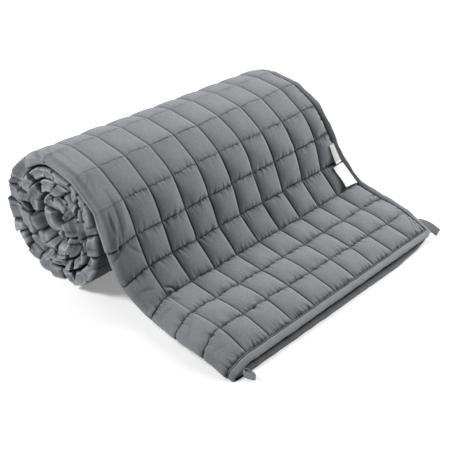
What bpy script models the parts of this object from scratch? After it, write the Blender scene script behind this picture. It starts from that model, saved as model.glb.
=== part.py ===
"""A weighted blanket, quilted in small squares, folded in half along its length and rolled up.

Its free end comes down over the front of the roll and lies on the floor. The roll's axis is Y: the fold
is at low y and the bound side edges at high y. +Z is up, the free end points to +X, and the roll
rests on z = 0. Lengths are in metres, and clock angles in degrees from +X towards +Z.
"""

import math

import bpy
import numpy as np

SQUARE = 0.060            # side of a quilted square
COLUMNS = 10              # squares from the fold to the side edge: half of the blanket's width
ROWS = 35                 # squares along the blanket's length
PUFF = 0.014              # thickness of one quilt at the middle of a square
STITCHED = 0.004          # and along a stitched line
PUFF_POWER = 0.7          # under 1: a square rises steeply from its seams to a broad top
FOLD_RADIUS = 0.0085      # from the middle of the two layers to the middle of either
LAYER_GAP = 0.003         # between the two layers
TURN_GAP = 0.003          # between two turns of the roll
THINNEST = 0.50           # most that the roll squeezes the cloth, as a share of its loose thickness
ROLL_FROM_ROW = 4         # the cloth is squeezed between turns only past this row
PRESSED = 0.005           # the lowest stretch of the underside, which the floor presses flat
LEAN = -0.35              # how far the free end's lower layer stands out under the upper one
LEAN_ROWS = (0.5, 3.5)    # the rows over which that lean dies away
WIDTH = COLUMNS * SQUARE
FOLD_Y = FOLD_RADIUS * (math.pi / 2 - 1)   # so that stitched line i lies at y = i squares
LOOSE_DEPTH = 2 * FOLD_RADIUS + PUFF       # both layers together

BINDING_WIDTH = 0.013
BINDING_THICKNESS = 0.0042
PIECE_GAP = 0.0003        # between pieces that touch
ORIGIN = (-0.2376, 0.3103, 0.0)   # becomes the model's origin: the middle of its footprint

TAPE_THICKNESS = 0.0012
LABEL_THICKNESS = 0.0008
LABEL_OVER = 0.009        # how far over the binding a label reaches
LABEL_LIFT = 0.0005       # off the binding and the square that it lies on

# Where the upper face's first stitched lines lie, half-way between the fold and the side edge, and
# how much further a line's end at the side edge lies (its end at the fold lies as much the other way).
# fold_in and side_in are how far the fold and the side edge are drawn in there, and under_in how much
# further in than the upper layer's side edge the lower layer's lies.
FREE_END = (
    # x, z, side_x, side_z, fold_in, side_in, under_in
    (0.001, 0.0208, -0.0050, 0.0006, 0.003, 0.010, 0.004),
    (-0.057, 0.0327, -0.0029, -0.0040, 0.000, 0.000, 0.000),
    (-0.118, 0.0353, -0.0020, 0.0000, 0.005, 0.000, 0.000),
    (-0.177, 0.0399, -0.0034, 0.0000, 0.012, -0.003, -0.004),
    (-0.224, 0.0775, -0.0025, 0.0012, 0.002, 0.002, -0.009),
    (-0.251, 0.1305, 0.0017, 0.0050, 0.000, 0.019, -0.006),
    (-0.286, 0.1811, 0.0000, 0.0003, 0.000, 0.023, 0.000),
    (-0.342, 0.2133, 0.0030, -0.0056, 0.000, 0.024, 0.000),
    (-0.407, 0.2203, 0.0082, -0.0106, 0.000, 0.020, 0.000),
)
ROLLED_IN = (0.0, 0.018, 0.0)   # fold_in, side_in and under_in along the rest of the cloth

# The roll: distance of each turn's outer face from the middle of the roll, by clock angle. The rows of
# FREE_END stand for the first turn's missing entries. taper is how much nearer the side edge's
# end lies, and how much further the fold's end.
ROLL_MIDDLE = (-0.381, 0.1194)
ROLL = (
    # clock, turn_1, turn_2, turn_3, turn_4, taper
    (0, None, 0.084, 0.063, 0.043, 0.000),
    (30, None, 0.085, 0.062, 0.040, 0.000),
    (60, None, 0.076, 0.054, 0.036, 0.003),
    (90, None, 0.075, 0.053, 0.034, 0.008),
    (120, 0.111, 0.083, 0.060, 0.036, 0.012),
    (150, 0.115, 0.088, 0.065, 0.033, 0.012),
    (180, 0.124, 0.090, 0.067, 0.028, 0.012),
    (210, 0.124, 0.091, 0.067, 0.027, 0.009),
    (240, 0.124, 0.098, 0.075, 0.033, 0.002),
    (270, 0.1165, 0.095, 0.073, 0.041, 0.000),
    (300, 0.117, 0.087, 0.066, 0.046, 0.000),
    (330, 0.098, 0.074, 0.053, 0.041, 0.000),
)
LAST_CLOCK = (0, 0.030)   # clock angle and distance of the cloth's inner end, inside the fourth turn
TURNS = 4
LINING_STEPS = 5          # faces across each layer's inner side
ROUTE_STEPS = 2000        # samples that measure the route's length and the room between its turns
LOOP_STEPS = 21           # stations along a tape loop


def clear_scene():
    for obj in list(bpy.data.objects):
        bpy.data.objects.remove(obj, do_unlink=True)


def collection_for(name):
    made = bpy.data.collections.new(name)
    bpy.context.scene.collection.children.link(made)
    return made


def material(name, colour, roughness):
    made = bpy.data.materials.new(name)
    made.use_nodes = True
    shader = made.node_tree.nodes["Principled BSDF"]
    shader.inputs["Base Color"].default_value = (*colour, 1.0)
    shader.inputs["Roughness"].default_value = roughness
    shader.inputs["Metallic"].default_value = 0.0
    return made


def natural_spline(knots, values):
    """A function that gives the smooth curve through values at knots, straight on past both ends."""
    knots = np.asarray(knots, float)
    values = np.asarray(values, float)
    step = np.diff(knots)
    slope = np.diff(values, axis=0) / step[:, None]
    matrix = np.eye(len(knots))
    right = np.zeros_like(values)
    for i in range(1, len(knots) - 1):
        matrix[i, i - 1:i + 2] = (step[i - 1], 2 * (step[i - 1] + step[i]), step[i])
        right[i] = 3 * (slope[i] - slope[i - 1])
    bend = np.linalg.solve(matrix, right)

    def at(where):
        where = np.asarray(where, float)
        inside = np.clip(where, knots[0], knots[-1])
        i = np.clip(np.searchsorted(knots, inside, side="right") - 1, 0, len(step) - 1)
        t = (inside - knots[i])[..., None]
        h = step[i][..., None]
        first = slope[i] - h * (2 * bend[i] + bend[i + 1]) / 3
        cubic = (bend[i + 1] - bend[i]) / (3 * h)
        value = values[i] + first * t + bend[i] * t**2 + cubic * t**3
        tangent = first + 2 * bend[i] * t + 3 * cubic * t**2
        return value + tangent * (where - inside)[..., None], tangent

    return at


def roll_knots():
    """FREE_END's columns for each entry of ROLL, along the cloth."""
    found = []
    for turn in range(1, TURNS + 1):
        for row in ROLL:
            clock, distance, taper = row[0], row[turn], row[-1]
            if distance is None:
                continue
            angle = math.radians(clock)
            out = np.array((math.cos(angle), math.sin(angle)))
            place = np.array(ROLL_MIDDLE) + distance * out
            found.append((*place, *(-taper * out), *ROLLED_IN))
    clock, distance = LAST_CLOCK
    angle = math.radians(clock)
    place = np.array(ROLL_MIDDLE) + distance * np.array((math.cos(angle), math.sin(angle)))
    found.append((*place, 0.0, 0.0, *ROLLED_IN))
    return np.array(found)


def route():
    """A function of the row number along the cloth, and the number of rows that the route holds. The
    function gives the stitched face's place, its normal, its swing towards the side edge, how far
    the two edges are drawn in, and the share of its loose thickness that the roll leaves it."""
    free = np.array(FREE_END)
    rolled = roll_knots()
    places = np.vstack((free, rolled))
    chords = np.hypot(*np.diff(places[len(free) - 1:, :2], axis=0).T)
    knots = np.concatenate((np.arange(len(free)), len(free) - 1 + np.cumsum(chords) / SQUARE))
    along = natural_spline(knots, places)

    # Past the free end's rows the row number follows the length of the curve.
    fine = np.linspace(len(free) - 1, knots[-1], ROUTE_STEPS)
    place = along(fine)[0]
    lengths = np.concatenate(((0.0,), np.cumsum(np.hypot(*np.diff(place[:, :2], axis=0).T))))
    rows_fine = len(free) - 1 + lengths / SQUARE

    def knot_of(rows):
        rows = np.asarray(rows, float)
        return np.where(rows < len(free) - 1, rows, np.interp(rows, rows_fine, fine))

    # Room between neighbouring turns, measured out from the middle of the roll.
    around = np.linspace(ROLL_FROM_ROW, rows_fine[-1], ROUTE_STEPS)
    from_middle = along(knot_of(around))[0][:, :2] - ROLL_MIDDLE
    distance = np.hypot(*from_middle.T)
    turned = np.unwrap(np.arctan2(from_middle[:, 1], from_middle[:, 0]))
    full = 2 * math.pi
    inside = distance - np.interp(turned + full, turned, distance, right=0.0)
    outside = np.interp(turned - full, turned, distance, left=1.0) - distance
    room = np.minimum(inside, outside)
    shares = np.clip((room - TURN_GAP) / LOOSE_DEPTH, THINNEST, 1.0)

    def at(rows):
        place, tangent = along(knot_of(rows))
        normal = np.stack((tangent[..., 1], -tangent[..., 0]), axis=-1)
        normal /= np.linalg.norm(normal, axis=-1, keepdims=True)
        rise = np.clip((np.asarray(rows) - LEAN_ROWS[0]) / np.ptp(LEAN_ROWS), 0, 1)[..., None]
        rise = rise * rise * (3 - 2 * rise)
        normal = (1 - rise) * np.array((LEAN, 1.0)) + rise * normal
        normal /= np.linalg.norm(normal, axis=-1, keepdims=True)
        share = np.interp(rows, around, shares)
        return place[..., :2], normal, place[..., 2:4], place[..., 4:], share

    return at, rows_fine[-1]


def cloth(at, across, rows, off):
    """Points of the blanket. across runs along the cloth from its fold, positive in the outer layer
    and negative in the inner one; off is how far out from the layer's middle a point lies."""
    across, rows, off = np.broadcast_arrays(across, rows, off)
    place, normal, swing, drawn_in, share = at(rows)
    angle = np.clip(np.abs(across) / FOLD_RADIUS, 0, math.pi / 2)
    straight = np.maximum(np.abs(across) - FOLD_RADIUS * math.pi / 2, 0)
    y = FOLD_Y + FOLD_RADIUS * (1 - np.cos(angle)) + straight - off * np.cos(angle)
    height = np.sign(across) * (FOLD_RADIUS + off) * np.sin(angle)
    depth = (STITCHED / 2 + FOLD_RADIUS - height) * share
    squares = np.abs(across) / SQUARE
    y += drawn_in[..., 0] * np.clip(1 - squares, 0, 1)
    y -= drawn_in[..., 1] * np.clip(squares - (COLUMNS - 1), 0, 1)
    y += drawn_in[..., 2] * np.clip(squares - (COLUMNS - 1), 0, 1) * np.sign(np.minimum(across, 0))
    aside = (2 * y / WIDTH - 1)[..., None]
    xz = place + swing * aside - normal * depth[..., None]
    return np.stack((xz[..., 0], y, xz[..., 1]), axis=-1) - ORIGIN


def puff(across, rows):
    """How far the quilted face stands off the layer's middle: stitched lines low, squares full. The
    squares beside the fold stay full round it."""
    bump_across = np.abs(np.sin(math.pi * across / SQUARE)) ** PUFF_POWER
    bump_across = np.where(np.abs(across) < SQUARE / 2, 1.0, bump_across)
    bump_along = np.abs(np.sin(math.pi * rows)) ** PUFF_POWER
    return STITCHED / 2 + (PUFF - STITCHED) / 2 * bump_across * bump_along


def on_faces(at, across, rows, off):
    """The same points moved onto the straight runs between the cloth's half-row stations."""
    low = np.floor(2 * rows) / 2
    share = (2 * (rows - low))[..., None]
    return (1 - share) * cloth(at, across, low, off) + share * cloth(at, across, low + 0.5, off)


def loft(name, rings, look, collection, closed=False):
    """A solid through closed rings of points, (rings, points, 3), with flat ends unless closed."""
    count, points = rings.shape[:2]
    grid = np.arange(count * points).reshape(count, points)
    ahead = np.roll(grid, -1, axis=0) if closed else grid[1:]
    here = grid if closed else grid[:-1]
    beside = np.roll(here, -1, axis=1)
    beside_ahead = np.roll(ahead, -1, axis=1)
    faces = np.stack((here, ahead, beside_ahead, beside), axis=-1).reshape(-1, 4).tolist()
    if not closed:
        faces.append(grid[0].tolist())
        faces.append(grid[-1][::-1].tolist())
    mesh = bpy.data.meshes.new(name)
    mesh.from_pydata(rings.reshape(-1, 3).tolist(), [], faces)
    mesh.shade_smooth()
    mesh.set_sharp_from_angle(angle=math.radians(50))
    mesh.materials.append(look)
    obj = bpy.data.objects.new(name, mesh)
    collection.objects.link(obj)
    return obj


def fold_points():
    """Places across the cloth that round its fold, from the outer layer to the inner one."""
    quarter = FOLD_RADIUS * math.pi / 2
    return np.array((quarter, quarter / 2, 0.0, -quarter / 2, -quarter))


def blanket(at, look, collection):
    """Both layers as one folded and rolled solid, each square of its outer faces raised in a point."""
    half = SQUARE / 2
    squares = np.arange(2 * COLUMNS, 0, -1) * half
    outer = np.concatenate((squares, fold_points(), -squares[::-1]))
    straight = np.arange(LINING_STEPS, 0, -1) * WIDTH / LINING_STEPS
    inner = np.concatenate((-straight, fold_points()[::-1], straight[::-1]))
    rows = np.arange(2 * ROWS + 1)[:, None] / 2
    face = cloth(at, outer, rows, puff(outer, rows))
    pressed = np.where(rows > 0, PRESSED, 0.0)
    face[..., 2] = np.where(face[..., 2] < pressed, 0.0, face[..., 2])
    lining = cloth(at, inner, rows, LAYER_GAP / 2 - FOLD_RADIUS)
    return loft("blanket", np.concatenate((face, lining), axis=1), look, collection)


def edge_binding(at, look, collection):
    """The strip sewn round all four edges of the cloth, so round the fold at both of its ends."""
    half = SQUARE / 2
    ends = np.concatenate(((WIDTH,), (half,), fold_points(), (-half,), (-WIDTH,)))
    sides = np.arange(1, 2 * ROWS) / 2
    across = np.concatenate((ends, np.full(len(sides), -WIDTH), ends[::-1],
                             np.full(len(sides), WIDTH)))
    rows = np.concatenate((np.zeros(len(ends)), sides, np.full(len(ends), ROWS), sides[::-1]))
    out_across = np.where(np.abs(across) == WIDTH, np.sign(across), 0.0)
    out_rows = np.where(rows == 0, -1.0, np.where(rows == ROWS, 1.0, 0.0)) / SQUARE
    rings = []
    for out, off in ((0, 1), (1, 1), (1, -1), (0, -1)):
        reach = PIECE_GAP + out * BINDING_WIDTH
        rings.append(cloth(at, across + reach * out_across, rows + reach * out_rows,
                           off * BINDING_THICKNESS / 2))
    rings = np.stack(rings, axis=1)
    rings[..., 2] = np.maximum(rings[..., 2], 0.0)
    return loft("edge_binding", rings, look, collection, closed=True)


def label(at, name, look, collection, low_row, high_row, width):
    """A blank label sewn down over the binding, lying back over the squares beside it."""
    halves = np.arange(math.ceil(2 * low_row), math.ceil(2 * high_row)) / 2
    rows = np.concatenate(((low_row,), halves, (high_row,)))[:, None]
    across = np.array((WIDTH + LABEL_OVER, WIDTH, WIDTH - width))
    full = np.interp(across, (WIDTH - SQUARE / 2, WIDTH), (PUFF / 2, STITCHED / 2))
    ridge = np.maximum(full, BINDING_THICKNESS / 2) + LABEL_LIFT
    under = on_faces(at, across[::-1], rows, ridge[::-1])
    over = on_faces(at, across, rows, ridge + LABEL_THICKNESS)
    return loft(name, np.concatenate((over, under), axis=1), look, collection)


def tape_loop(name, look, collection, root, ahead, broad, width, length, eye):
    """A tape folded back on itself. It leaves root along ahead and bulges to eye between its two
    legs; broad is the direction of the tape's width."""
    ahead = np.array(ahead) / np.linalg.norm(ahead)
    broad = np.array(broad) - np.dot(broad, ahead) * ahead
    broad /= np.linalg.norm(broad)
    apart = np.cross(ahead, broad)
    turn = np.linspace(-math.pi, math.pi, LOOP_STEPS)
    reach = length * (1 + np.cos(turn)) / 2
    bulge = (eye / 2) * np.sin(turn) * np.sin(np.abs(turn) / 2) + np.sign(turn) * TAPE_THICKNESS
    middle = np.stack((reach, bulge), axis=1)
    along = np.gradient(middle, axis=0)
    out = np.stack((along[:, 1], -along[:, 0]), axis=1)
    out /= np.linalg.norm(out, axis=1, keepdims=True)
    corners = []
    for side, face in ((-1, -1), (1, -1), (1, 1), (-1, 1)):
        flat = middle + face * TAPE_THICKNESS / 2 * out
        corners.append(np.subtract(root, ORIGIN) + flat[:, :1] * ahead + flat[:, 1:] * apart
                       + side * width / 2 * broad)
    return loft(name, np.stack(corners, axis=1), look, collection)


def main():
    clear_scene()
    parts = collection_for("weighted_blanket")
    cloth_look = material("quilted_cloth", (0.19, 0.20, 0.21), 0.85)
    binding_look = material("binding_cloth", (0.21, 0.22, 0.23), 0.80)
    tape_look = material("loop_tape", (0.17, 0.18, 0.19), 0.80)
    white_look = material("white_satin", (0.85, 0.85, 0.84), 0.55)
    grey_look = material("grey_satin", (0.62, 0.62, 0.61), 0.55)

    at, longest = route()
    if longest < ROWS + BINDING_WIDTH / SQUARE:
        raise ValueError(f"the roll holds {longest:.2f} rows")
    blanket(at, cloth_look, parts)
    edge_binding(at, binding_look, parts)
    label(at, "wide_label", white_look, parts, low_row=3.01, high_row=3.88, width=0.028)
    label(at, "narrow_label", grey_look, parts, low_row=3.94, high_row=4.63, width=0.014)
    tape_loop("corner_loop", tape_look, parts, root=(-0.024, WIDTH + 0.0115, 0.0138),
              ahead=(1, 0.05, 0), broad=(0, 0.77, 0.64), width=0.013, length=0.038, eye=0.004)
    tape_loop("fold_loop", tape_look, parts, root=(0.0231, 0.033, 0.0060),
              ahead=(1, 0.12, 0), broad=(0, 0, 1), width=0.0105, length=0.0225, eye=0.022)


main()
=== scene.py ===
"""The looks of a weighted blanket that is quilted in squares, folded in half and rolled up.

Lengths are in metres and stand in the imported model's frame: the roll lies along Y with its fold at -Y, the
free end points to +X, and the roll rests on z = 0.
"""

import math

import bpy
import numpy as np
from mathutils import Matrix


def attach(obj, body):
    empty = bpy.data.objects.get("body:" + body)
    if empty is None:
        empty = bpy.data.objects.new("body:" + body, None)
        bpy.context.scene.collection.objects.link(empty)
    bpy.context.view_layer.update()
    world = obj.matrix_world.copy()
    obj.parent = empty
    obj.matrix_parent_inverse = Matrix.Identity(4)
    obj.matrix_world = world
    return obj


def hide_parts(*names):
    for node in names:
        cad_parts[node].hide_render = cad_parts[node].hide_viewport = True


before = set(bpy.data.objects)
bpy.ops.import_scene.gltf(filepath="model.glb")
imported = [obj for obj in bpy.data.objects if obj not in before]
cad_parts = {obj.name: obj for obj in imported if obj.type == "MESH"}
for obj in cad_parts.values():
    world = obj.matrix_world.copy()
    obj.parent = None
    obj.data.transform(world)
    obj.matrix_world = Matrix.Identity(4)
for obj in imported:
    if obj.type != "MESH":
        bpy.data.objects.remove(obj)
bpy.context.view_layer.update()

# ------------------------------
# The quilted blanket. Two microfibre cloths with beads and fibre between them, sewn through in squares,
# folded in half along its length and rolled up from one end. Stitched lines lie low, squares stand full.
# ------------------------------

SQUARE = 0.06  # side of a quilted square
COLUMNS = 10  # squares from the fold to the side edge
ROWS = 35  # squares along the length
PUFF = 0.014  # thickness of one quilt at the middle of a square
STITCHED = 0.004  # and along a stitched line
FOLD_RADIUS = 0.0085  # from the middle of the two layers to either one's
LAYER_GAP = 0.003  # between the two layers
TURN_GAP = 0.003  # between two turns
THINNEST = 0.5  # most that the roll squeezes the cloth
LEAN = -0.35  # how far the free end's lower layer stands out
LEAN_ROWS = (0.5, 3.5)  # where that dies away
ROLL_FROM_ROW = 4  # past which the turns squeeze the cloth
WIDTH = COLUMNS * SQUARE
FOLD_Y = FOLD_RADIUS * (math.pi / 2 - 1)
LOOSE_DEPTH = 2 * FOLD_RADIUS + PUFF
ORIGIN = (-0.2376, 0.3103, 0)
ROUTE_STEPS = 2000
FLAT_SQUARES = 0.65  # how much straighter than the smooth route a square runs
FLAT_UNTIL_ROW = 9

# Where the upper face's first stitched lines lie half-way along the roll, how much further their ends at the
# side edge lie, and how far the fold, the side edge and the lower layer's side edge are drawn in there, in
# tenths of a millimetre.
FREE_END = (
    # x, z, side_x, side_z, fold_in, side_in, under_in
    (10, 208, -50, 6, 30, 100, 40),
    (-570, 327, -29, -40, 0, 0, 0),
    (-1180, 353, -20, 0, 50, 0, 0),
    (-1770, 399, -34, 0, 120, -30, -40),
    (-2240, 775, -25, 12, 20, 20, -90),
    (-2510, 1305, 17, 50, 0, 190, -60),
    (-2860, 1811, 0, 3, 0, 230, 0),
    (-3420, 2133, 30, -56, 0, 240, 0),
    (-4070, 2203, 82, -106, 0, 200, 0),
)
ROLLED_IN = (0, 0.018, 0)

# Distance of each turn's outer face from the middle of the roll, in millimetres, by clock angle in degrees,
# and how much nearer it is at the side edge and further at the fold.
ROLL_MIDDLE = (-0.381, 0.1194)
ROLL = (
    # clock, turn_1, turn_2, turn_3, turn_4, taper
    (0, None, 84, 63, 43, 0),
    (30, None, 85, 62, 40, 0),
    (60, None, 76, 54, 36, 3),
    (90, None, 75, 53, 34, 8),
    (120, 111, 83, 60, 36, 12),
    (150, 115, 88, 65, 33, 12),
    (180, 124, 90, 67, 28, 12),
    (210, 124, 91, 67, 27, 9),
    (240, 124, 98, 75, 33, 2),
    (270, 116.5, 95, 73, 41, 0),
    (300, 117, 87, 66, 46, 0),
    (330, 98, 74, 53, 41, 0),
)
LAST_CLOCK = (0, 30, 0)  # the cloth's end: clock, distance, taper
TURNS = 4


def eased(t):
    """From 0 to 1 with a level start and end: three times t squared less twice t cubed."""
    return t * t * (3 - 2 * t)


def fade(x, start, end, power=1):
    """0 before start, 1 past end, and between them the share of the way there, to a power."""
    return np.clip((x - start) / (end - start), 0, 1) ** power


def bell(x, width, power=2):
    """1 at zero, dying away on both sides: e to the minus x over width, to a power."""
    return np.exp(-(np.abs(x) / width) ** power)


def unit(vectors):
    """Vectors over their own lengths."""
    return vectors / np.linalg.norm(vectors, axis=-1, keepdims=True)


def natural_spline(knots, values):
    """The smooth curve through values at knots, with no bend at its ends and straight on past them."""
    step = np.diff(knots)
    slope = np.diff(values, axis=0) / step[:, None]
    matrix = np.eye(len(knots))
    right = np.zeros_like(values)
    i = np.arange(1, len(knots) - 1)
    matrix[i, i - 1], matrix[i, i], matrix[i, i + 1] = step[:-1], 2 * (step[:-1] + step[1:]), step[1:]
    right[1:-1] = 3 * np.diff(slope, axis=0)
    bend = np.linalg.solve(matrix, right)

    def at(where):
        inside = np.clip(where, knots[0], knots[-1])
        i = np.clip(np.searchsorted(knots, inside, side="right") - 1, 0, len(step) - 1)
        t = (inside - knots[i])[..., None]
        h = step[i][..., None]
        first = slope[i] - h * (2 * bend[i] + bend[i + 1]) / 3
        cubic = (bend[i + 1] - bend[i]) / (3 * h)
        value = values[i] + first * t + bend[i] * t**2 + cubic * t**3
        tangent = first + 2 * bend[i] * t + 3 * cubic * t**2
        return value + tangent * (where - inside)[..., None], tangent

    return at


def roll_knots():
    """FREE_END's columns for each entry of ROLL: its middle plus distance along the clock angle."""
    found = [(row[0], row[turn], row[-1]) for turn in range(1, TURNS + 1) for row in ROLL if row[turn]]
    clock, distance, taper = np.array(found + [LAST_CLOCK]).T[..., None]
    distance, taper = distance / 1000, taper / 1000
    out = np.hstack((np.cos(np.radians(clock)), np.sin(np.radians(clock))))
    return np.hstack((ROLL_MIDDLE + distance * out, -taper * out, np.tile(ROLLED_IN, (len(out), 1))))


def route():
    """A function of the row number along the cloth: the stitched face's place, its normal, its swing towards
    the side edge, how far the edges are drawn in, and the share of its thickness that the roll leaves it."""
    free = np.array(FREE_END) / 10000
    places = np.vstack((free, roll_knots()))
    chords = np.hypot(*np.diff(places[len(free) - 1:, :2], axis=0).T)
    knots = np.r_[:len(free), len(free) - 1 + np.cumsum(chords) / SQUARE]
    along = natural_spline(knots, places)
    fine = np.linspace(len(free) - 1, knots[-1], ROUTE_STEPS)
    lengths = np.cumsum(np.hypot(*np.diff(along(fine)[0][:, :2], axis=0).T))
    rows_fine = len(free) - 1 + np.r_[0, lengths] / SQUARE

    def knot_of(rows):
        return np.where(rows < len(free) - 1, rows, np.interp(rows, rows_fine, fine))

    around = np.linspace(ROLL_FROM_ROW, rows_fine[-1], ROUTE_STEPS)
    from_middle = along(knot_of(around))[0][:, :2] - ROLL_MIDDLE
    distance = np.hypot(*from_middle.T)
    turned = np.unwrap(np.arctan2(from_middle[:, 1], from_middle[:, 0]))
    inside = distance - np.interp(turned + 2 * math.pi, turned, distance, right=0.0)
    outside = np.interp(turned - 2 * math.pi, turned, distance, left=1.0) - distance
    shares = np.clip((np.minimum(inside, outside) - TURN_GAP) / LOOSE_DEPTH, THINNEST, 1)

    def at(rows):
        place, tangent = along(knot_of(rows))
        whole = np.maximum(np.floor(rows), 0)
        chord_0, chord_1 = along(knot_of(whole))[0], along(knot_of(whole + 1))[0]
        part = (rows - whole)[..., None]
        straight = FLAT_SQUARES * np.clip(FLAT_UNTIL_ROW - rows, 0, 1)[..., None] * (part >= 0)
        place = place + straight * (chord_0 + (chord_1 - chord_0) * part - place)
        rise = eased(fade(rows, *LEAN_ROWS))[..., None]
        normal = rise * unit(np.stack((tangent[..., 1], -tangent[..., 0]), axis=-1))
        normal = unit((1 - rise) * np.array((LEAN, 1)) + normal)
        return place[..., :2], normal, place[..., 2:4], place[..., 4:], np.interp(rows, around, shares)

    return at


LATTICE = 251  # random values along a lattice, past which they repeat
OTHER_LAYER = 40  # where on it the inner layer's squares start


def uneven(x, y, seed, x_from=0, y_from=0):
    """Smooth random numbers from -1 to 1: random values on a unit lattice, eased from one to the next. x_from
    and y_from say where on the lattice x and y start."""
    values = np.random.default_rng(seed).uniform(-1, 1, (LATTICE, LATTICE))
    values = np.pad(values, (0, 1), mode="wrap")
    x, y = x + x_from, y + y_from
    i, j = np.floor(x).astype(int), np.floor(y).astype(int)
    a, b = eased(x - i), eased(y - j)
    i, j = i % LATTICE, j % LATTICE
    low = values[i, j] * (1 - a) + values[i + 1, j] * a
    high = values[i, j + 1] * (1 - a) + values[i + 1, j + 1] * a
    return low * (1 - b) + high * b


# Where the folded edge of the rolled cloth buckles, by row. The outermost turn's notches are listed, and
# the turns inside it have one at every seam and one between two seams.
OUTER_NOTCHES = (7, 8.1, 9.15, 10, 10.25, 10.8, 11.4, 11.75, 12.3, 12.8, 13.45, 13.85, 14.4)
INNER_NOTCHES = (15, (0.25, 0.75))  # first row, and where in a square the second one is
SHALLOW_NOTCHES = ((8, 10), (0.25, 1))  # share of its depth that a notch on top of the roll has
NOTCH_DEPTH = (0.002, 0.006)
NOTCH_SHARPNESS = 0.0018  # over which a notch closes, along the cloth
NOTCH_POINTED = 1.5  # the power of its section
NOTCH_REACH = 0.026  # across the cloth, from the fold
NOTCH_PULL = 0.3  # share of its depth by which it pulls the edge in
BUCKLED_ROWS = (6.8, 9.8)  # where the buckling sets in
ROLLED_ROWS = (8.4, 9.4)  # where the turns start to press the edge
BUCKLE_IN = (-0.002, 0.0055)  # how far the edge stands out or in between two notches,
BUCKLE_TILT = 0.0048  # and how much further at one notch than at the next
PLUMP = (0.0012, 0.005)  # how full it stands between two notches
PLUMP_FORM = (2.5, 0.55)  # the powers of that arch, steep at the notches
PLUMP_GAP = 0.4  # rows between notches under which it is less full
PLUMP_BACK = 0.35  # share of it by which the edge stands back
NOSE_LEAN = 0.85  # how far the end face leans, one rim out and the other in,
NOSE_DENT = (0, 0.0055)  # and how hollow it is
NOSE_WIDTH = 0.0075
NOSE_CUT = 0.66  # cosine past which the fold's rounding is pressed flat,
NOSE_OUT = 0.0025  # which pushes the end face out again
CRUMPLE = (0.0026, 0.02, 0.17, 0.007)  # its unevenness: height, reach, rows along, metres across
END_GATHERS = (0.085, 0.016)  # the fine gathers on it: rows along, metres across
NOSE_GATHER = (0.003, 0.018, 0.7)  # their height, reach and sharpness
GATHER_SHADE = (0.6, 0.16, 0.02)  # painted shade in their bottoms: how dark, the share of them, the reach
SLANTS = ((7.5, 1.7, 61), (4.5, 1.1, 62))  # of the notches: rows for each metre, changes in a row, seed
SLANT_REACH = 0.03
SLANT_ROWS = (8, 9)  # where it sets in
FOLD_RUN = 0.056  # how far from the fold the flat cloth slopes down to it,
FOLD_SINK = ((0, 4, 5.5, ROWS), (0.4, 0.4, 0, 0), 1.2)  # by what share of its thickness, by row,
FOLD_SWERVE = ((0.2, 1, 5.2, 6.6), (0, 0.2, 0.2, 0), 1.3)  # and how many rows its seams turn back
UNDERSIDE = 0.026  # depth of the doubled cloth's underside
WAVER = 0.0016  # how far the stitched lines waver,
WAVER_OVER = (0.045, 0.7)  # over how many metres across and rows along,
WAVER_ENDS = ((0, 1, 8, 9), (0, 1, 1, 0))  # and the share of it by row
CORNER = (7.5, 10, 1.5)  # squares over which the lower layer's end rises to the upper one's corner,
CORNER_ROWS = (2.5, 0, 2)  # and rows
CORNER_BACK = 0.38  # how far it goes back there,
CORNER_UP = 0.35  # and how far up, as shares of its depth


def notched(seed):
    """The row and depth of each notch, and the push, tilt, dent, lean and fullness of the buckle after it."""
    draw = np.random.default_rng(seed)
    seams = np.arange(INNER_NOTCHES[0], ROWS)
    places = np.sort(np.r_[OUTER_NOTCHES, seams, seams + draw.uniform(*INNER_NOTCHES[1], len(seams))])
    depth = draw.uniform(*NOTCH_DEPTH, len(places)) * np.interp(places, *SHALLOW_NOTCHES)
    push = draw.uniform(*BUCKLE_IN, len(places))
    tilt = draw.uniform(-BUCKLE_TILT, BUCKLE_TILT, len(places))
    dent = draw.uniform(*NOSE_DENT, len(places))
    lean = draw.uniform(-NOSE_LEAN, NOSE_LEAN, len(places))
    plump = draw.uniform(*PLUMP, len(places))
    return places, depth, push, tilt, dent, lean, plump


NOTCHES, DEPTHS, PUSHES, TILTS, DENTS, LEANS, PLUMPS = notched(seed=7)


def buckled(rows):
    """How far the folded edge is pushed in at each row, how deep its notch goes there, the fold's dent and
    lean, and how hard the turns press it: a straight run from notch to notch, with an arch on it, eased into
    the next over a notch's width, and a sharp dip."""
    after = np.clip(np.searchsorted(NOTCHES, rows, side="right") - 1, 0, len(NOTCHES) - 2)
    before = np.maximum(after - 1, 0)
    gap = NOTCHES[after + 1] - NOTCHES[after]
    t = np.clip((rows - NOTCHES[after]) / gap, 0, 1)
    to_next = 0.5 - 0.5 * np.clip((1 - t) * gap * SQUARE / NOTCH_SHARPNESS, 0, 1)
    to_last = 0.5 - 0.5 * np.clip(t * gap * SQUARE / NOTCH_SHARPNESS, 0, 1)

    def run(values, tilts=0 * TILTS):
        here = values[after] + tilts[after] * (2 * t - 1)
        ahead, behind = values[after + 1] - tilts[after + 1], values[before] + tilts[before]
        return (1 - to_next - to_last) * here + to_next * ahead + to_last * behind

    def dip_at(notch):
        near = np.clip(1 - np.abs(rows - NOTCHES[notch]) * SQUARE / NOTCH_SHARPNESS, 0, 1)
        return DEPTHS[notch] * near ** NOTCH_POINTED

    full = (1 - np.abs(2 * t - 1) ** PLUMP_FORM[0]).clip(0) ** PLUMP_FORM[1] * np.minimum(1, gap / PLUMP_GAP)
    strength = fade(rows, *BUCKLED_ROWS)
    rolled = fade(rows, *ROLLED_ROWS)
    push = run(PUSHES, TILTS) + PLUMPS[after] * (PLUMP_BACK - full) * rolled
    dip = np.maximum(dip_at(after), dip_at(after + 1))
    return push * strength, dip * strength, run(DENTS) * rolled, run(LEANS) * rolled, rolled


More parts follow.
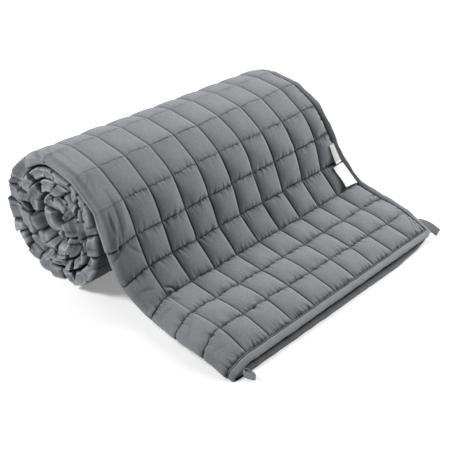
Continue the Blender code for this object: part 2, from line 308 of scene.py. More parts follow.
def from_notch(rows):
    """Distance in metres along the cloth to the nearest notch."""
    after = np.clip(np.searchsorted(NOTCHES, rows, side="right"), 1, len(NOTCHES) - 1)
    return np.minimum(np.abs(rows - NOTCHES[after - 1]), np.abs(NOTCHES[after] - rows)) * SQUARE


def at_fold(across, rows, table):
    """A table's value by row, times how near the fold is, to the table's power."""
    by_row, values, power = table
    return np.interp(rows, by_row, values) * fade(np.abs(across), FOLD_RUN, 0, power)


def slanted(across, rows):
    """Rows moved along the cloth: near its fold, so that what runs across it slants by turns both ways and
    turns back, and elsewhere by a little, so that its stitched lines waver."""
    lean = sum(most * uneven(rows * pace, 0 * rows, seed) for most, pace, seed in SLANTS)
    swerve = lean * across * bell(across, SLANT_REACH) * fade(rows, *SLANT_ROWS) * np.clip(ROWS - rows, 0, 1)
    waver = WAVER / SQUARE * uneven(across / WAVER_OVER[0], rows / WAVER_OVER[1], seed=72, x_from=40)
    return rows - at_fold(across, rows, FOLD_SWERVE) + waver * np.interp(rows, *WAVER_ENDS) + swerve


def end_gathers(across, rows):
    """The fine gathers over the folded edge: 0 at their sharp bottoms, up to 1 between them."""
    return np.abs(uneven(rows / END_GATHERS[0], across / END_GATHERS[1], seed=64, y_from=50))


def cloth(across, rows, off):
    """Points of the blanket. across runs along the cloth from its fold, positive in the outer layer and
    negative in the inner one, and rows along its length. A point lies on the route, moved inwards by its
    depth in the doubled cloth, which turns through half a circle at the fold. off is out from the layer."""
    across, rows, off = np.broadcast_arrays(across, rows, off)
    place, normal, swing, drawn_in, share = at_row(slanted(across, rows))
    angle = np.clip(np.abs(across) / FOLD_RADIUS, 0, math.pi / 2)
    straight = np.maximum(np.abs(across) - FOLD_RADIUS * math.pi / 2, 0)
    push, dip, dent, lean, rolled = buckled(rows)
    out = np.cos(angle) - rolled * np.maximum(np.cos(angle) - NOSE_CUT, 0)
    y = FOLD_Y + FOLD_RADIUS * (1 - out) + straight - off * out - rolled * NOSE_OUT * out
    height = np.sign(across) * (FOLD_RADIUS + off) * np.sin(angle)
    depth = (STITCHED / 2 + FOLD_RADIUS - height) * share
    depth += at_fold(across, rows, FOLD_SINK) * (UNDERSIDE - depth)
    squares = np.abs(across) / SQUARE
    corner = np.where(across < 0, fade(squares, *CORNER) * fade(rows, *CORNER_ROWS), 0)
    beside = np.clip(1 - squares, 0, 1)
    y += drawn_in[..., 0] * beside + (push + NOTCH_PULL * dip) * beside ** 2
    tall, reach, rows_along, wide = CRUMPLE
    crumple = tall * bell(across, reach) * uneven(rows / rows_along, across / wide, seed=63, y_from=90)
    tall, reach, sharp = NOSE_GATHER
    crumple -= tall * bell(across, reach) * (end_gathers(across, rows) ** sharp - 0.5)
    nose = dent * bell(across, NOSE_WIDTH) + lean * height * out + rolled * crumple
    y += np.where(off > 0, nose, 0)
    waver = uneven(across / WAVER_OVER[0], rows / WAVER_OVER[1], seed=71, x_from=20)
    y += WAVER * waver * np.clip(squares, 0, 1)
    last = np.clip(squares - (COLUMNS - 1), 0, 1)
    y += last * (drawn_in[..., 2] * np.sign(np.minimum(across, 0)) - drawn_in[..., 1])
    aside = (2 * y / WIDTH - 1)[..., None]
    xz = place + swing * aside - normal * (depth * (1 - CORNER_UP * corner))[..., None]
    return np.stack((xz[..., 0] - CORNER_BACK * corner * depth, y, xz[..., 1]), axis=-1) - ORIGIN


ARCH = (2.1, 0.52)  # a square's section across the roll: steep at its seams, round on top
BARREL = ((0, 6, 8, ROWS), (2.4, 2.4, 6, 6), 0.55)  # and along the cloth, flatter in the roll, by row
ROW_DIP = ((0, 5, 6, 7, 10, ROWS), (0.92, 0.9, 0.62, 0.34, 0.4, 0.65))  # how deep the rows' seams lie,
FOLD_DIP = ((0, 3.6, 5, 5.6, 8, ROWS), (0.62, 0.62, 0.45, 0.1, 0.1, 0.3))  # and beside the fold
FOLD_LOFT = ((0, 3.6, 5, 9, 10, ROWS), (0.78, 0.78, 0.7, 0.7, 1, 1))  # share of LOFT there
FOLD_FLATTER = 4  # added to the power of BARREL there
BESIDE_FOLD = (1.4, 0.4)  # squares from the fold over which this comes in
LOFT = ((0, 6, 8, 9.5, ROWS), (1.62, 1.62, 1.1, 0.7, 0.7))  # how full the outer face stands, by row,
INNER_LOFT = ((0, 26, 29, ROWS), (1, 1, 2.3, 2.6))  # and the inner face, that fills the middle
FULLNESS = (0.86, 1.12)  # the emptiest and the fullest square
LIFT = ((6, 9, 15, ROWS), (0, 0.0018, 0.0018, 0))  # how much higher the whole face lies, by row
RISEN = 1.5  # how soon gathers and creases come up beside a seam
SAG = (0.0009, 0.031, 0.47)  # unevenness of the filling: height, metres across, rows along
GROOVE = (0.001, 0.0011)  # depth and half-width of the line that the thread pulls in
ROW_GROOVE = ((4.6, 6, ROWS), (1, 0.55, 0.55))  # share of its depth, by row,
GROOVE_LEFT = 0.4  # and what is left of it between the gathers
DEEPEST = -0.0014  # how far under the layer's middle the face may go
FINE_PUCKER = (0.00165, 0.0024, 0.0048)  # gathers beside a row's seam: height, width, reach
COARSE_PUCKER = (0.0012, 0.007, 0.0095)
SIDE_PUCKER = (0.002, 0.0036, 0.011)  # and beside the side edge
PUCKER_FADE = 1.4  # the power by which they die away
PUCKER_FAN = (0.35, 0.02)  # how far they run aside, and over how many metres that changes
PUCKER_ROWS = ((0, 5, 7, 9, ROWS), (1, 1, 0.45, 0.35, 0.35))  # how strong they are, by row,
END_PUCKER = (0.3, 1.5)  # rows at the cloth's end, and how much stronger there
SMOOTH_ROWS = ((5, 5.5, 7.4, 8), (0, 0.75, 0.75, 0))  # where the rows' seams fade out at the fold
FAINT_SEAM = ((1, 1.3, 2.6, 3), (0, 0.6, 0.6, 0))  # how faint the first column's seam is, by row,
FAINT_FILL = 0.6  # and the share of that by which it is filled
# Where the innermost turn's folded edge swells to the middle: the rows over which that sets in, where it
# starts and ends from the fold, how far from the middle it stops, and how far it may stand off.
FILL_ROWS = (28.5, 30)
FILL_START = 0.011
FILL_REACH = 0.045
FILL_CLEAR = 0.0015
FILL_MOST = 0.03
FILL_GATHERS = (0.4, 0.17, 0.01)  # depth as a share of its height, rows along, metres across
FILL_NOTCH = (0.5, 0.0045)  # its notches: the same share, and their half-width
# Painted shade of the folds, seams and gaps between turns, up to 1, and under 0 painted highlight.
HOLLOW = 0.0027  # depth under the square's own arch at which a hollow is darkest,
HOLLOW_CREASE = 0.4  # and the share of a crease's depth that counts
SEAM_SHADE = ((0, 4.5, 6, 7, 8, 9, ROWS), (1, 1, 0.85, 0.7, 0.55, 0.5, 0.6))  # painted shade in a line along the seams, by row
SEAM_SHADE_WIDTH = 0.0016
ROW_SHADE = ((4.6, 6, 8, ROWS), (0.5, 0.3, 0.22, 0.4))  # the rows' seams, as a share of that
CREASE_SHADE = (0.97, 0.0029, 0.022)  # painted shade in the rolled edge's notches: how dark, half-width and reach
SHADED_ROWS = (9.5, 10.5)  # where these and the gathers get dark
ENCLOSED = 0.92  # how dark the painted shade is between two turns,
OUTER_ENCLOSED = (13.2, 14.2)  # from which rows on the outer face,
INNER_ENCLOSED = (6.5, 7.5)  # and the inner one,
ENCLOSED_FOLD = (0.009, 0.013)  # how far from the fold that starts,
ENCLOSED_SIDE = 0.03  # how far from the side edge,
FILL_SHADE = 0.35  # and the share of it where the middle is filled
SEAM_HIGHLIGHT = (0.22, 0.005, 0.002)  # painted highlight beside a column's seam: how pale, how far from it, how wide,
SEAM_HIGHLIGHT_ROWS = (15, 14)  # and where that ends
RIM_HIGHLIGHT = (0.65, 0.0074, 0.002)  # the same on the rims of the rolled cloth's folded edge,
NOTCH_HIGHLIGHT = (0.5, 0.0058, 0.0018)  # and beside its notches
HIGHLIGHT_BETWEEN = (-0.3, 0.5)  # painted shades between which the painted highlights go on

# Larger creases, listed: from one point to another in hundredths of a square, and how far the middle bows
# aside, the half-width and the height (under 0 for a trough) in tenths of a millimetre.
CREASES = (
    # square, row, square, row, bow, half_width, height
    (16, 662, 50, 695, 0, 20, -15),
    (52, 697, 20, 625, 0, 20, -13),
    (62, 650, 42, 502, 20, 34, -20),
    (84, 630, 66, 520, 10, 50, 12),
    (22, 875, 4, 810, 0, 18, -30),
    (36, 835, 14, 785, 10, 22, -20),
    (16, 795, 15, 630, 10, 20, -22),
    (8, 730, 6, 530, -10, 24, -20),
    (27, 600, 10, 490, 15, 34, -22),
    (46, 570, 24, 495, 15, 30, -14),
    (5, 465, 42, 510, 10, 22, -26),
    (50, 795, 40, 720, 10, 20, -10),
    (62, 860, 30, 820, 10, 24, -12),
    (45, 495, 95, 435, 20, 34, -12),
    (22, 590, 30, 505, 10, 26, -13),
    (93, 332, 136, 293, 50, 16, -28),
    (96, 316, 126, 294, 30, 22, 26),
    (102, 306, 110, 258, 0, 18, -24),
    (86, 330, 78, 270, 0, 26, -12),
    (10, 270, 62, 255, 20, 30, -13),
    (8, 162, 55, 180, -20, 30, -11),
    (15, 70, 62, 45, 20, 30, -10),
    (10, 362, 70, 340, 30, 32, -14),
    (997, 66, 964, 10, 10, 17, -22),
    (998, 40, 980, 6, 0, 15, -20),
    (990, 86, 946, 10, 15, 20, -16),
    (998, 92, 978, 55, 0, 15, -18),
    (997, 130, 972, 106, 0, 16, -16),
    (997, 175, 966, 195, 0, 16, -16),
    (997, 230, 970, 205, 0, 16, -16),
)
CREASE_ENDS = 0.7  # the power of the sine that fades them at their ends


def creases(across, rows):
    """The sum of the creases: each is a smooth ridge or trough, a bell across its bowed line, which fades
    out at both of its ends."""
    total = np.zeros(np.broadcast(across, rows).shape)
    for *ends, bow, half_width, height in CREASES:
        start, end = np.reshape(ends, (2, 2)) / 100 * SQUARE
        length = np.hypot(*(end - start))
        ahead = (end - start) / length
        x, y = across - start[0], rows * SQUARE - start[1]
        t = np.clip((x * ahead[0] + y * ahead[1]) / length, 0, 1)
        aside = (y * ahead[0] - x * ahead[1]) - 4 * bow / 10000 * t * (1 - t)
        total += height / 10000 * bell(aside * 10000, half_width) * np.sin(math.pi * t) ** CREASE_ENDS
    return total


def gathered(x, y, seed, y_from=0):
    """Gathers about zero: random numbers folded up at zero, so sharp at their bottoms."""
    return 2.2 * np.abs(uneven(x, y, seed, y_from=y_from)) ** 0.6 - 1.3


def quilt_height(across, rows):
    """How far the quilted face stands off its layer's middle, and its painted shade. Each square is an arch
    across times a barrel along, of its own fullness, with gathers that run away from the rows' seams and in
    from the side edge, sharp at their bottoms, a drawn-in thread line, and the folded edge's notches."""
    squares = np.abs(across) / SQUARE
    column, row, seam = np.floor(squares), np.floor(rows), np.round(rows)
    arch = (1 - np.abs(2 * (squares - column) - 1) ** ARCH[0]).clip(0) ** ARCH[1]
    arch = np.where(squares < 0.5, 1.0, arch)
    faint = np.where(np.abs(across - SQUARE) < SQUARE / 2, np.interp(rows, *FAINT_SEAM), 0)
    arch = arch + FAINT_FILL * faint * (1 - arch)
    beside_fold = fade(squares, *BESIDE_FOLD)
    power = np.interp(rows, *BARREL[:2]) + FOLD_FLATTER * beside_fold
    barrel = (1 - np.abs(2 * (rows - row) - 1) ** power).clip(0) ** BARREL[2]
    seam_dip = np.interp(rows, *ROW_DIP)
    seam_dip = seam_dip + (np.interp(rows, *FOLD_DIP) - seam_dip) * beside_fold
    own = uneven(column + np.where(across < 0, OTHER_LAYER, 0), row, seed=11)
    fullness = np.mean(FULLNESS) + np.ptp(FULLNESS) / 2 * own
    loft = np.where(across > 0, np.interp(rows, *LOFT), np.interp(rows, *INNER_LOFT))
    loft *= 1 - beside_fold * (1 - np.interp(rows, *FOLD_LOFT))
    height = (PUFF - STITCHED) / 2 * loft * fullness * arch * (1 - seam_dip * (1 - barrel))
    height += SAG[0] * arch * barrel * uneven(across / SAG[1], rows / SAG[2], seed=31)

    risen = np.clip(arch * RISEN, 0, 1)
    beside = (rows - seam) * SQUARE
    strength = np.interp(rows, *PUCKER_ROWS) * risen
    strength *= 1 + (END_PUCKER[1] - 1) * np.clip(1 - rows / END_PUCKER[0], 0, 1)
    shown = 1 - np.interp(rows, *SMOOTH_ROWS) * beside_fold
    detail = -buckled(rows)[1] * np.exp(-np.abs(across) / NOTCH_REACH)
    groove = GROOVE[0] * np.interp(rows, *ROW_GROOVE) * shown * (GROOVE_LEFT + (1 - GROOVE_LEFT) * strength)
    detail -= groove * arch * bell(beside, GROOVE[1])
    for (tall, wide, reach), seed in ((FINE_PUCKER, 21), (COARSE_PUCKER, 22)):
        fan = across + PUCKER_FAN[0] * beside * uneven(across / PUCKER_FAN[1], seam, seed + 10)
        gathers = gathered(fan / wide, 2 * seam + (beside > 0), seed)
        detail += tall * strength * shown * gathers * bell(beside, reach, PUCKER_FADE)
    tall, wide, reach = SIDE_PUCKER
    gathers = gathered(rows * SQUARE / wide, np.sign(across), seed=23, y_from=3) * np.clip(arch * 2, 0, 1)
    detail += tall * gathers * bell(WIDTH - np.abs(across), reach, PUCKER_FADE)
    folds = np.where(across > 0, creases(across, rows), 0) * risen
    lift = np.where(across > 0, np.interp(rows, *LIFT), 0)
    face = STITCHED / 2 + lift + np.maximum(height + detail + folds, DEEPEST)
    return face, quilt_shade(across, rows, detail + HOLLOW_CREASE * folds, shown, faint)


def quilt_shade(across, rows, raised, shown, faint):
    """The painted shade, the darkest of these: what is raised, where it is under 0; a line along every seam;
    the folded edge's notches and gathers; and all that lies between two turns. Painted highlight makes it
    paler on the folded edge's rims and notches and beside the column seams."""
    far, notch = np.abs(across), from_notch(rows)
    shaded = fade(rows, *SHADED_ROWS)
    line = (1 - faint) * (far > SQUARE / 2)
    line = line * bell((far / SQUARE - np.round(far / SQUARE)) * SQUARE, SEAM_SHADE_WIDTH)
    along = np.interp(rows, *ROW_SHADE) * shown * bell((rows - np.round(rows)) * SQUARE, SEAM_SHADE_WIDTH)
    line = np.interp(rows, *SEAM_SHADE) * np.maximum(line, along)
    filled = (across < 0) & (rows > FILL_ROWS[0])
    inside = np.where(across > 0, fade(rows, *OUTER_ENCLOSED), fade(rows, *INNER_ENCLOSED))
    inside *= fade(far, *ENCLOSED_FOLD) * fade(far, WIDTH, WIDTH - ENCLOSED_SIDE)
    inside = ENCLOSED * inside * np.where(filled, FILL_SHADE, 1)
    dark, share, reach = GATHER_SHADE
    creased = dark * np.clip(1 - end_gathers(across, rows) / share, 0, 1) * bell(across, reach) * shaded
    dark, wide, reach = CREASE_SHADE
    crease = dark * bell(notch, wide) * bell(across, np.where(filled, FILL_REACH, reach)) * shaded
    # painted shade: the darkest of the hollows, seam lines, notches, gathers and gaps between turns
    shade = np.maximum.reduce((np.clip(-raised / HOLLOW, 0, 1), line, crease, inside, creased))
    # painted highlights: on the folded edge's rims, beside its notches, and beside the column seams
    pale, place, wide = RIM_HIGHLIGHT
    shade -= pale * bell(far - place, wide) * buckled(rows)[4] * (shade < HIGHLIGHT_BETWEEN[1])
    pale, place, wide = NOTCH_HIGHLIGHT
    highlit = bell(notch - place, wide) * bell(across, reach) * shaded
    shade -= pale * highlit * ((shade < HIGHLIGHT_BETWEEN[1]) & (shade > HIGHLIGHT_BETWEEN[0]))
    pale, place, wide = SEAM_HIGHLIGHT
    highlit = bell(np.ceil(across / SQUARE) * SQUARE - across - place, wide) * fade(rows, *SEAM_HIGHLIGHT_ROWS)
    return shade - pale * highlit * (across > 0) * (shade < HIGHLIGHT_BETWEEN[1])


def crowded(count, crowding):
    """Steps from 0 to 1 that lie closer together towards both ends, where the seams are."""
    even = np.arange(count) / count
    return (1 - crowding) * even + crowding * (1 - np.cos(math.pi * even)) / 2


SHARP_ANGLE = math.radians(75)


def linked(name, data):
    """A new object of the scene."""
    made = bpy.data.objects.new(name, data)
    bpy.context.scene.collection.objects.link(made)
    return made


def lofted(name, rings, across, rows, look, shade=0.0, closed_along=False):
    """A solid skin through closed rings of points, (rings, points, 3), with flat ends unless it closes along
    too. Its UV map is the place on the cloth, in metres, and its attribute is its painted shade, under 0
    painted highlight."""
    count, points = rings.shape[:2]
    grid = np.arange(count * points).reshape(count, points)
    ahead = np.roll(grid, -1, axis=0) if closed_along else grid[1:]
    here = grid if closed_along else grid[:-1]
    quads = np.stack((here, ahead, np.roll(ahead, -1, axis=1), np.roll(here, -1, axis=1)), axis=-1)
    faces = quads.reshape(-1, 4).tolist()
    if not closed_along:
        faces += [grid[0].tolist(), grid[-1][::-1].tolist()]
    mesh = bpy.data.meshes.new(name)
    mesh.from_pydata(rings.reshape(-1, 3).tolist(), [], faces)
    corner = np.empty(len(mesh.loops), np.int32)
    mesh.loops.foreach_get("vertex_index", corner)
    places = np.stack(np.broadcast_arrays(across, rows * SQUARE), axis=-1).reshape(-1, 2)
    mesh.uv_layers.new(name="cloth").data.foreach_set("uv", places[corner].astype(np.float32).ravel())
    depth = np.broadcast_to(shade, rings.shape[:2]).astype(np.float32)
    mesh.attributes.new("hollow", "FLOAT", "POINT").data.foreach_set("value", depth.ravel())
    mesh.shade_smooth()
    mesh.set_sharp_from_angle(angle=SHARP_ANGLE)
    mesh.materials.append(look)
    return linked(name, mesh)


def new_look(name, roughness, sheen, sheen_roughness):
    """A new material, its node tree and its Principled shader's inputs."""
    look = bpy.data.materials.new(name)
    look.use_nodes = True
    inputs = look.node_tree.nodes["Principled BSDF"].inputs
    inputs["Roughness"].default_value = roughness
    inputs["Sheen Weight"].default_value = sheen
    inputs["Sheen Roughness"].default_value = sheen_roughness
    return look, look.node_tree, inputs


def node(tree, kind, *joined, **settings):
    """Adds a node, sets its settings, and feeds its inputs in order: a socket is joined, a value is set."""
    made = tree.nodes.new(kind)
    for key, value in settings.items():
        setattr(made, key, value)
    for socket, value in zip(made.inputs, joined):
        if isinstance(value, bpy.types.NodeSocket):
            tree.links.new(value, socket)
        elif value is not None:
            socket.default_value = value
    return made


def maths(tree, operation, *joined):
    """One Math node's result."""
    return node(tree, "ShaderNodeMath", *joined, operation=operation).outputs[0]


def shaded(tree, shade, what, span, base):
    """shade times the sum of base and span times what."""
    return maths(tree, "MULTIPLY", shade, maths(tree, "MULTIPLY_ADD", what, span, base))


def woven_group():
    """Woven cloth: thread crossings over and under by turns, with a slow, a quick and a fine unevenness of
    shade, the fine one that of the nap."""
    group = bpy.data.node_groups.new("woven_cloth", "ShaderNodeTree")
    for name, kind in (("Place", "NodeSocketVector"), ("Threads", "NodeSocketFloat")):
        group.interface.new_socket(name, in_out="INPUT", socket_type=kind)
    for name in ("Shade", "Height"):
        group.interface.new_socket(name, in_out="OUTPUT", socket_type="NodeSocketFloat")
    place, threads = group.nodes.new("NodeGroupInput").outputs[:2]
    xyz = node(group, "ShaderNodeSeparateXYZ", place)
    turned = maths(group, "MULTIPLY", threads, math.pi)
    warp, weft = (maths(group, "SINE", maths(group, "MULTIPLY", xyz.outputs[i], turned)) for i in (0, 1))
    crossing = maths(group, "ABSOLUTE", maths(group, "MULTIPLY", warp, weft))
    # the patches, the flecks and the nap, as scale (patches a metre), detail and roughness of each noise
    slow, quick, nap = (node(group, "ShaderNodeTexNoise", place, None, *grain).outputs[0]
                        for grain in ((22.0, 3.0, 0.5), (900.0, 2.0, 0.6), (220.0, 3.0, 0.6)))
    shade = maths(group, "MULTIPLY_ADD", slow, 0.16, 0.92)
    shade = shaded(group, shade, quick, 0.40, 0.80)
    shade = shaded(group, shade, nap, 0.50, 0.75)
    shade = shaded(group, shade, crossing, 0.10, 0.95)
    height = maths(group, "MULTIPLY_ADD", nap, 0.5, maths(group, "MULTIPLY", crossing, 0.5))
    node(group, "NodeGroupOutput", shade, height)
    return group


woven = woven_group()
THREADS = 1400  # thread crossings a metre
STITCH = (0.0032, 0.0005)  # length of a stitch and its gap, and half the thread's width
STITCH_SEWN = 0.72  # share of that length with thread on top


def cloth_look(name, threads, roughness, sheen, sheen_roughness):
    """A new cloth material and its tree, with the piece's own place across and along the cloth, and the shade
    and height of the weave there."""
    look, tree, _ = new_look(name, roughness, sheen, sheen_roughness)
    place = node(tree, "ShaderNodeUVMap", uv_map="cloth").outputs[0]
    across, along = node(tree, "ShaderNodeSeparateXYZ", place).outputs[:2]
    shade, height = node(tree, "ShaderNodeGroup", place, threads, node_tree=woven).outputs
    return look, tree, across, along, shade, height


def dressed(look, colour, shade, height, strength, distance):
    """The finished material: its colour times shade, and height as a bump of a strength and distance."""
    tree = look.node_tree
    inputs = tree.nodes["Principled BSDF"].inputs
    tinted = node(tree, "ShaderNodeVectorMath", colour, shade, operation="MULTIPLY")
    bump = node(tree, "ShaderNodeBump", strength, distance)
    tree.links.new(tinted.outputs[0], inputs["Base Color"])
    tree.links.new(height, bump.inputs["Height"])
    tree.links.new(bump.outputs[0], inputs["Normal"])
    return look


def painted_shade_of(tree):
    """The painted shade, under 0 painted highlight, that the piece's own attribute gives."""
    return node(tree, "ShaderNodeAttribute", attribute_name="hollow").outputs["Fac"]


def stitched_line(tree, distance, along, pitch, half_width):
    """1 on the stitches of a seam: near its line, and on the sewn part of each stitch along it."""
    near = maths(tree, "LESS_THAN", distance, half_width)
    part = maths(tree, "FRACT", maths(tree, "DIVIDE", along, pitch))
    return maths(tree, "MULTIPLY", near, maths(tree, "LESS_THAN", part, STITCH_SEWN))


def from_seam(tree, along):
    """Distance in metres to the nearest multiple of a square."""
    part = maths(tree, "FRACT", maths(tree, "MULTIPLY_ADD", along, 1 / SQUARE, 0.5))
    part = maths(tree, "ABSOLUTE", maths(tree, "SUBTRACT", part, 0.5))
    return maths(tree, "MULTIPLY", part, SQUARE)


def quilted_look():
    """Mid-grey microfibre: a soft nap on a fine weave, with darker thread in the seams, the painted shade of
    the attribute, and painted shade that makes it darker towards the seams and a little paler on the crowns."""
    look, tree, across, along, shade, height = cloth_look("quilted_cloth", THREADS, 0.93, 0.12, 0.45)
    tree.nodes["Principled BSDF"].inputs["Specular IOR Level"].default_value = 0.25
    seams = from_seam(tree, across), from_seam(tree, along)
    crown = maths(tree, "DIVIDE", maths(tree, "MINIMUM", *seams), SQUARE / 2)
    thread = maths(tree, "MAXIMUM", stitched_line(tree, seams[0], along, *STITCH),
                       stitched_line(tree, seams[1], across, *STITCH))
    # painted shade, under 0 painted highlight, from the piece's attribute
    shade = shaded(tree, shade, painted_shade_of(tree), -0.90, 1)
    # painted shade: darker towards the seams, a little paler on the crowns
    shade = shaded(tree, shade, crown, 0.10, 0.95)
    shade = shaded(tree, shade, thread, -0.25, 1)
    height = maths(tree, "MULTIPLY_ADD", thread, 0.8, height)
    return dressed(look, (0.222, 0.232, 0.244), shade, height, strength=0.5, distance=0.0003)


SEAM_CROWDING = 0.5  # how much closer the mesh's lines lie beside the seams: along the cloth,
FOLD_CROWDING = 0.3  # across it in the square at the fold,
FACE_CROWDING = 0.35  # and across it elsewhere
NOTCH_STATIONS = (-0.07, -0.03, -0.012, 0, 0.012, 0.03, 0.07)  # those beside a notch, in rows
LEAST_STEP = 0.008  # the least between two, in rows


def stations(first_row, last_row, steps):
    """Rows at which the cloth's section is taken: closer at the seams, with seven more at every notch."""
    rows = np.concatenate([i + crowded(steps, SEAM_CROWDING) for i in range(first_row, last_row)])
    beside = np.add.outer(NOTCHES, NOTCH_STATIONS).ravel()
    rows = np.unique(np.r_[rows, beside[(beside > first_row) & (beside < last_row)]])
    return np.r_[rows[np.r_[True, np.diff(rows) > LEAST_STEP]], last_row]


def swollen(across, rows, height):
    """The inner face's height, raised near the innermost turn's fold until it meets the middle of the roll:
    the distance left to the middle, eased in by row and out across."""
    place, _, _, _, share = at_row(rows)
    left = np.hypot(*(place - ROLL_MIDDLE).T).T - (STITCHED / 2 + 2 * FOLD_RADIUS) * share - FILL_CLEAR
    ease = fade(rows, *FILL_ROWS) * bell(across, FILL_REACH, 4) * (1 - bell(across, FILL_START, 4))
    deep, rows_along, wide = FILL_GATHERS
    gathers = np.abs(uneven(rows / rows_along, across / wide, seed=65, y_from=30)) ** 0.6
    ease *= (1 - deep * (1 - gathers)) * (1 - FILL_NOTCH[0] * bell(from_notch(rows), FILL_NOTCH[1]))
    wanted = np.clip(left / share, 0, FILL_MOST)
    return np.where(across < 0, height + ease * np.maximum(wanted - height, 0), height)


LINING_SHADE = 0.6  # painted shade of the lining, between the two layers
LINING_STEPS = (12, 9)  # points of the lining: side edge to fold, round the fold
FLOOR_CLEAR = 0.0004  # the least height of the cloth over the floor


def blanket_piece(name, first_row, last_row, steps_along, steps_outer, steps_inner):
    """One stretch of the rolled cloth, from a seam between rows to another. steps_outer and steps_inner are
    the steps across the square beside the fold, half the next one, and the rest, in each layer."""
    sides = []
    for near, middle, far in (steps_outer, steps_inner):
        inside = [crowded(near, FOLD_CROWDING), 1 + crowded(middle, FACE_CROWDING)]
        beyond = [i + crowded(far, FACE_CROWDING) for i in range(2, COLUMNS)]
        sides.append(np.concatenate(inside + beyond + [(COLUMNS,)]))
    face_across = np.r_[sides[0][::-1], -sides[1][1:]] * SQUARE
    turn = np.linspace(-1, 1, LINING_STEPS[1]) * FOLD_RADIUS * math.pi / 2
    runs = np.linspace(1, 0, LINING_STEPS[0])[:-1] * (WIDTH - turn[-1]) + turn[-1]
    lining_across = np.r_[-runs, turn, runs[::-1]]
    rows = stations(first_row, last_row, steps_along)[:, None]
    # hollow is the face's painted shade
    height, hollow = quilt_height(face_across, rows)
    face = cloth(face_across, rows, swollen(face_across, rows, height))
    face[..., 2] = np.maximum(face[..., 2], FLOOR_CLEAR)
    # the lining gets painted shade
    hollow = np.pad(hollow, ((0, 0), (0, len(lining_across))), constant_values=LINING_SHADE)
    lining = cloth(lining_across, rows, LAYER_GAP / 2 - FOLD_RADIUS)
    rings = np.hstack((face, lining))
    piece = lofted(name, rings, np.r_[face_across, lining_across], rows, quilted, hollow)
    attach(piece, "root")
    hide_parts("blanket")


at_row = route()
quilted = quilted_look()
blanket_piece("quilt_free_end", 0, 3, 34, (52, 52, 52), (36, 12, 8))
blanket_piece("quilt_rise", 3, 7, 28, (48, 44, 44), (36, 12, 8))
blanket_piece("quilt_outer_turn", 7, 15, 16, (36, 28, 28), (36, 12, 6))
blanket_piece("quilt_middle_turns", 15, 25, 14, (36, 16, 4), (36, 12, 4))
blanket_piece("quilt_inner_turns", 25, ROWS, 14, (36, 16, 4), (36, 12, 4))

# ------------------------------
# The edge binding. One strip of the same cloth, folded over the raw edges all round and topstitched close
# to its inner edge.
# ------------------------------

PIECE_GAP = 0.0003
# Section of the folded strip: round its outside from the upper inner edge, then back along its inside. How
# far each point is out from the cloth's edge and off its middle, in tenths of a millimetre.
BINDING_SECTION = (
    (-4, 21), (6, 30), (20, 16), (34, 31), (60, 31), (100, 28), (124, 21), (133, 8), (133, -8), (124, -21),
    (100, -28), (60, -31), (28, -29), (16, -22), (4, -27), (-4, -21), (-3, -12), (30, -16), (98, -15),
    (120, 0), (98, 15), (30, 16), (-3, 12),
)
BINDING_STEP = 0.006  # between stations along the strip,
BINDING_TURN = 13  # and their number round the fold
BINDING_PUCKER = (0.0006, 0.008)  # how unevenly it is puckered, and over what length
BINDING_WAVE = (0.13, 0.021)  # how unevenly it stands out, as a share, and over what length
MITRE = 0.62  # how far the corners reach, as a share
CURL = ((0.15, 3.2, 6, 7.5, 9.2), (0, 0.5, 0.55, 0.2, 0))  # how far its upper side turns up, by row
SIDE_SHADE = 0.25  # painted shade of the binding: how much darker it is along the sides,
UNDER_SHADE = 0.35  # on the lower layer's end,
INSIDE_SHADE = 0.6  # and where it faces the other layer
SIDE_HIGHLIGHT_AND_SHADE = ((0.002, 0.004, 0.009, 0.012), (0.15, 0, 0, -0.35))  # painted shade near the stitches and painted highlight on the rim, by how far out
STITCHED_AT = 0.002  # how far out the topstitched line lies,
BINDING_STITCH = (0.0034, 0.0006)  # its stitches, as in STITCH,
BINDING_GROOVE = (0.0003, 0.0016, 0.3, 1)  # and its painted shade: distances, and values there


def binding_look():
    """The blanket's cloth cut as a strip: the same weave, with dark stitches, painted shade along their sunk
    line, and the painted shade and highlight of its attribute.
    """
    look, tree, out, along, shade, height = cloth_look("binding_cloth", THREADS, 0.84, 0.22, 0.45)
    from_line = maths(tree, "ABSOLUTE", maths(tree, "SUBTRACT", out, STITCHED_AT))
    thread = stitched_line(tree, from_line, along, *BINDING_STITCH)
    # painted shade along the sunk stitched line
    groove = node(tree, "ShaderNodeMapRange", from_line, *BINDING_GROOVE).outputs[0]
    shade = shaded(tree, maths(tree, "MULTIPLY", shade, groove), painted_shade_of(tree), -1.0, 1)
    shade = shaded(tree, shade, thread, -0.45, 1)
    height = maths(tree, "MULTIPLY_ADD", thread, 0.8, height)
    return dressed(look, (0.212, 0.221, 0.231), shade, height, strength=0.5, distance=0.0003)


